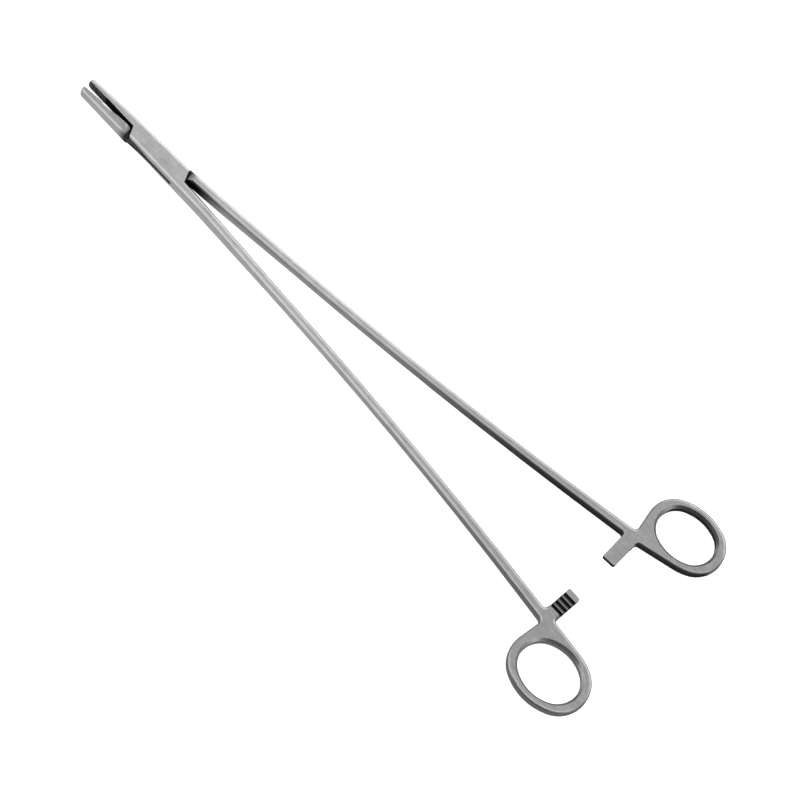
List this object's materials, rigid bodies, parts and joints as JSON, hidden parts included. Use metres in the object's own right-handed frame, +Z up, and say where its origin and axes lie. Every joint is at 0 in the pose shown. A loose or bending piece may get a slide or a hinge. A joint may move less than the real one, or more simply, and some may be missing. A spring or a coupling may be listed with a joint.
{
  "type": "needle holder",
  "caption": "Long slender needle holder with straight serrated jaws, a box lock, gently bowed shanks, oval finger rings and a toothed ratchet between them.",
  "frame": {"origin": "on the pivot axis, at the underside of the box", "axes": "+X towards the jaw tips along the line that halves the opening, +Z up through the box, +Y to the side of the box half's ring"},
  "size_m": [0.2713, 0.0936, 0.006],
  "materials": {
    "box_half_steel": "satin ground stainless steel",
    "tenon_half_steel": "satin ground stainless steel",
    "rivet_steel": "satin stainless steel, ground flush with the box"
  },
  "bodies": {
    "box_side": {"box_half": "box_half_steel", "rivet_pin": "rivet_steel"},
    "tenon_side": {"tenon_half": "tenon_half_steel"}
  },
  "joints": [
    {"name": "box_lock_pivot", "type": "hinge", "parent": "box_side", "child": "tenon_side", "pos_m": [0, 0, 0.003], "axis": [0, 0, 1], "range_deg": [-4.6, 25]}
  ]
}
